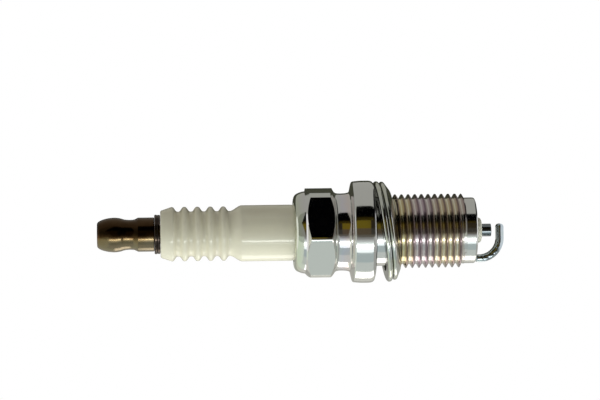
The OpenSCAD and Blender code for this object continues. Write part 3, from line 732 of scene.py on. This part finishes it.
bpy.ops.mesh.select_all(action="DESELECT")
bpy.ops.object.mode_set(mode="OBJECT")


def fromBackCorner(point):
    return math.degrees(math.atan2(point.y, point.x)) - hexagonSize["turn"]


for edge in hexagon.data.edges:
    foot, head = (hexagon.data.vertices[i].co for i in edge.vertices)
    upright = (foot - head).xy.length < 1e-6
    edge.select = upright and abs(fromBackCorner(foot) - hexagonSize["frontTurn"]) < 5
bpy.ops.object.mode_set(mode="EDIT")
bpy.ops.mesh.select_mode(type="EDGE")
bpy.ops.mesh.bevel(offset=hexagonSize["frontRound"] * mm, segments=10, affect="EDGES")
bpy.ops.object.mode_set(mode="OBJECT")
flatR, cornerR, bore = hexagonSize["flats"] / 2, hexagonSize["corner"], hexagonSize["bore"]
(lowEnd, highEnd), (lowFace, highFace) = hexagonSize["ends"], hexagonSize["face"]
lowEdge, highEdge = hexagonSize["edge"]
lowRadius, highRadius = hexagonSize["endRadius"]
blankOutline = [(bore, lowEnd), (lowRadius, lowEnd), (flatR, lowFace), (cornerR, lowEdge),
                (cornerR, highEdge), (flatR, highFace), (highRadius, highEnd), (bore, highEnd), (bore, lowEnd)]
blank = turnOnLathe("hexagonBlank", blankOutline, 180)
reach, fade = hexagonSize["backReach"]
for vertex in blank.data.vertices:
    if vertex.co.xy.length > (cornerR - 0.05) * mm:
        off = fromBackCorner(vertex.co)
        worn = min(max((reach - abs(off)) / fade, 0.0), 1.0)
        end = lowFace if vertex.co.z < middle else highFace
        vertex.co.z += (end * mm - vertex.co.z) * worn
        vertex.co.xy *= 1 + (hexagonSize["backCorner"] / cornerR - 1) * worn
        if abs(off - hexagonSize["frontTurn"]) < 20:
            vertex.co.xy *= hexagonSize["frontCorner"] / cornerR
cutting = hexagon.modifiers.new("turned ends", "BOOLEAN")
cutting.operation = "INTERSECT"
cutting.object = blank
cutting.solver = "EXACT"
pickUp(hexagon)
bpy.ops.object.modifier_apply(modifier=cutting.name)
bpy.data.objects.remove(blank)
roundEdges(hexagon, hexagonSize["edgeRound"], 4, 18)
finishPiece(hexagon, brightZinc, "plug", "plated_steel", "shell", smooth=24)

lipSize = {
    "foot": [(6.0, 12.7), (7.70, 12.7)],
    "crimp": [(7.70, 13.10), (7.67, 13.30), (7.62, 13.55), (7.55, 13.79), (7.47, 14.02), (7.38, 14.25),
              (7.27, 14.47), (7.13, 14.67), (6.94, 14.85), (6.70, 14.98), (6.40, 15.06), (6.05, 15.095),
              (5.60, 15.095)],
    "inside": [(5.47, 15.06), (5.39, 14.97), (5.37, 14.85), (5.37, 14.42), (6.0, 14.1), (6.0, 12.7)],
}
lip = turnOnLathe("shellLip", lipSize["foot"] + lipSize["crimp"] + lipSize["inside"], 160)
finishPiece(lip, brightZinc, "plug", "plated_steel", "shell")


# electrodes

electrodeSize = {"tipZ": -22.10, "wire": 1.2, "tipRound": 0.12, "head": 1.93, "headZ": (-2.98, -1.38),
                 "core": 0.67, "coreZ": -19.70}
tipZ, coreZ = electrodeSize["tipZ"], electrodeSize["coreZ"]
wire, head, core = electrodeSize["wire"], electrodeSize["head"], electrodeSize["core"]
lowHead, highHead = electrodeSize["headZ"]
electrodeCorners = [(0, tipZ), (wire, tipZ, electrodeSize["tipRound"]), (wire, lowHead), (head, lowHead),
                    (head, highHead), (core, highHead), (core, coreZ), (0, coreZ)]
electrode = turnOnLathe("centreElectrode", softenCorners(electrodeCorners, 4), 72)
finishPiece(electrode, drawnNickel, "plug", "nickel_alloy", "center_electrode")

strapSize = {
    "outX": -5.975, "thick": 1.4, "wide": 2.7,
    "topZ": -18.95, "bendZ": -19.949, "bend": 4.5, "tipX": 1.2,
    "edge": 0.62,     # rounding of the drawn edges
}
startFresh()
bpy.ops.mesh.primitive_plane_add(size=mm)
strap = bpy.context.object
strap.name = strap.data.name = "groundElectrode"
bpy.ops.object.mode_set(mode="EDIT")
bpy.ops.transform.resize(value=(strapSize["thick"], strapSize["wide"], 1), center_override=(0, 0, 0))
root = ((strapSize["outX"] + strapSize["thick"] / 2) * mm, 0, strapSize["topZ"] * mm)
bpy.ops.transform.translate(value=root)
bpy.ops.mesh.delete(type="ONLY_FACE")
bpy.ops.mesh.select_all(action="SELECT")
downLeg = (0, 0, (strapSize["bendZ"] - strapSize["topZ"]) * mm)
bpy.ops.mesh.extrude_edges_move(TRANSFORM_OT_translate={"value": downLeg})
bendCentre = ((strapSize["outX"] + strapSize["bend"]) * mm, 0, strapSize["bendZ"] * mm)
bpy.ops.mesh.spin(steps=28, angle=math.radians(90), center=bendCentre, axis=(0, 1, 0))
tipLeg = (strapSize["tipX"] * mm - bendCentre[0], 0, 0)
bpy.ops.mesh.extrude_edges_move(TRANSFORM_OT_translate={"value": tipLeg})
bpy.ops.mesh.select_all(action="DESELECT")
bpy.ops.mesh.select_non_manifold()
bpy.ops.mesh.fill_holes(sides=0)
closeUp()
roundEdges(strap, strapSize["edge"], 6, 40)
finishPiece(strap, stripNickel, "plug", "nickel_alloy", "ground_electrode")


# gasket: one strip folded into a ring with two lobes at the rim, hanging askew on the neck

gasketSize = {
    "lean": 7.3, "shift": 0.08, "rock": (8.955, -0.51),
    "upperLobe": (9.03, -0.51), "innerFold": (8.00, -1.03), "lowerLobe": (8.85, -1.53),
    "start": [(7.36, -0.20), (7.40, -0.07), (7.52, -0.02)],
    "tail": [(8.40, -2.29), (7.62, -2.725), (7.49, -2.77), (7.42, -2.74), (7.395, -2.65), (7.46, -2.53),
             (7.62, -2.42), (8.20, -2.09), (8.72, -1.79), (8.84, -1.66), (8.82, -1.52), (8.70, -1.46)],
    "end": [(7.52, -0.46), (7.40, -0.38), (7.36, -0.20)],
}
# along the outside of the strip to its tail, and back along the inside
gasketOutline = gasketSize["start"] + arcPoints(gasketSize["upperLobe"], 0.49, 90, -80, 14)
gasketOutline += arcPoints(gasketSize["innerFold"], 0.03, 90, 270, 2)
gasketOutline += arcPoints(gasketSize["lowerLobe"], 0.45, 82, -61, 14) + gasketSize["tail"]
gasketOutline += arcPoints(gasketSize["innerFold"], 0.43, 270, 90, 8)
gasketOutline += arcPoints(gasketSize["upperLobe"], 0.05, -90, 90, 2) + gasketSize["end"]
gasket = turnOnLathe("foldedGasket", gasketOutline, 160)
pickUp(gasket)
bpy.ops.object.mode_set(mode="EDIT")
bpy.ops.mesh.select_all(action="SELECT")
bpy.ops.transform.translate(value=(-gasketSize["shift"] * mm, 0, 0))
hinge = (gasketSize["rock"][0] * mm, 0, gasketSize["rock"][1] * mm)
bpy.ops.transform.rotate(value=math.radians(gasketSize["lean"]), orient_axis="Y", center_override=hinge)
bpy.ops.object.mode_set(mode="OBJECT")
finishPiece(gasket, sheetZinc, "gasket", "gasket_steel", "gasket")
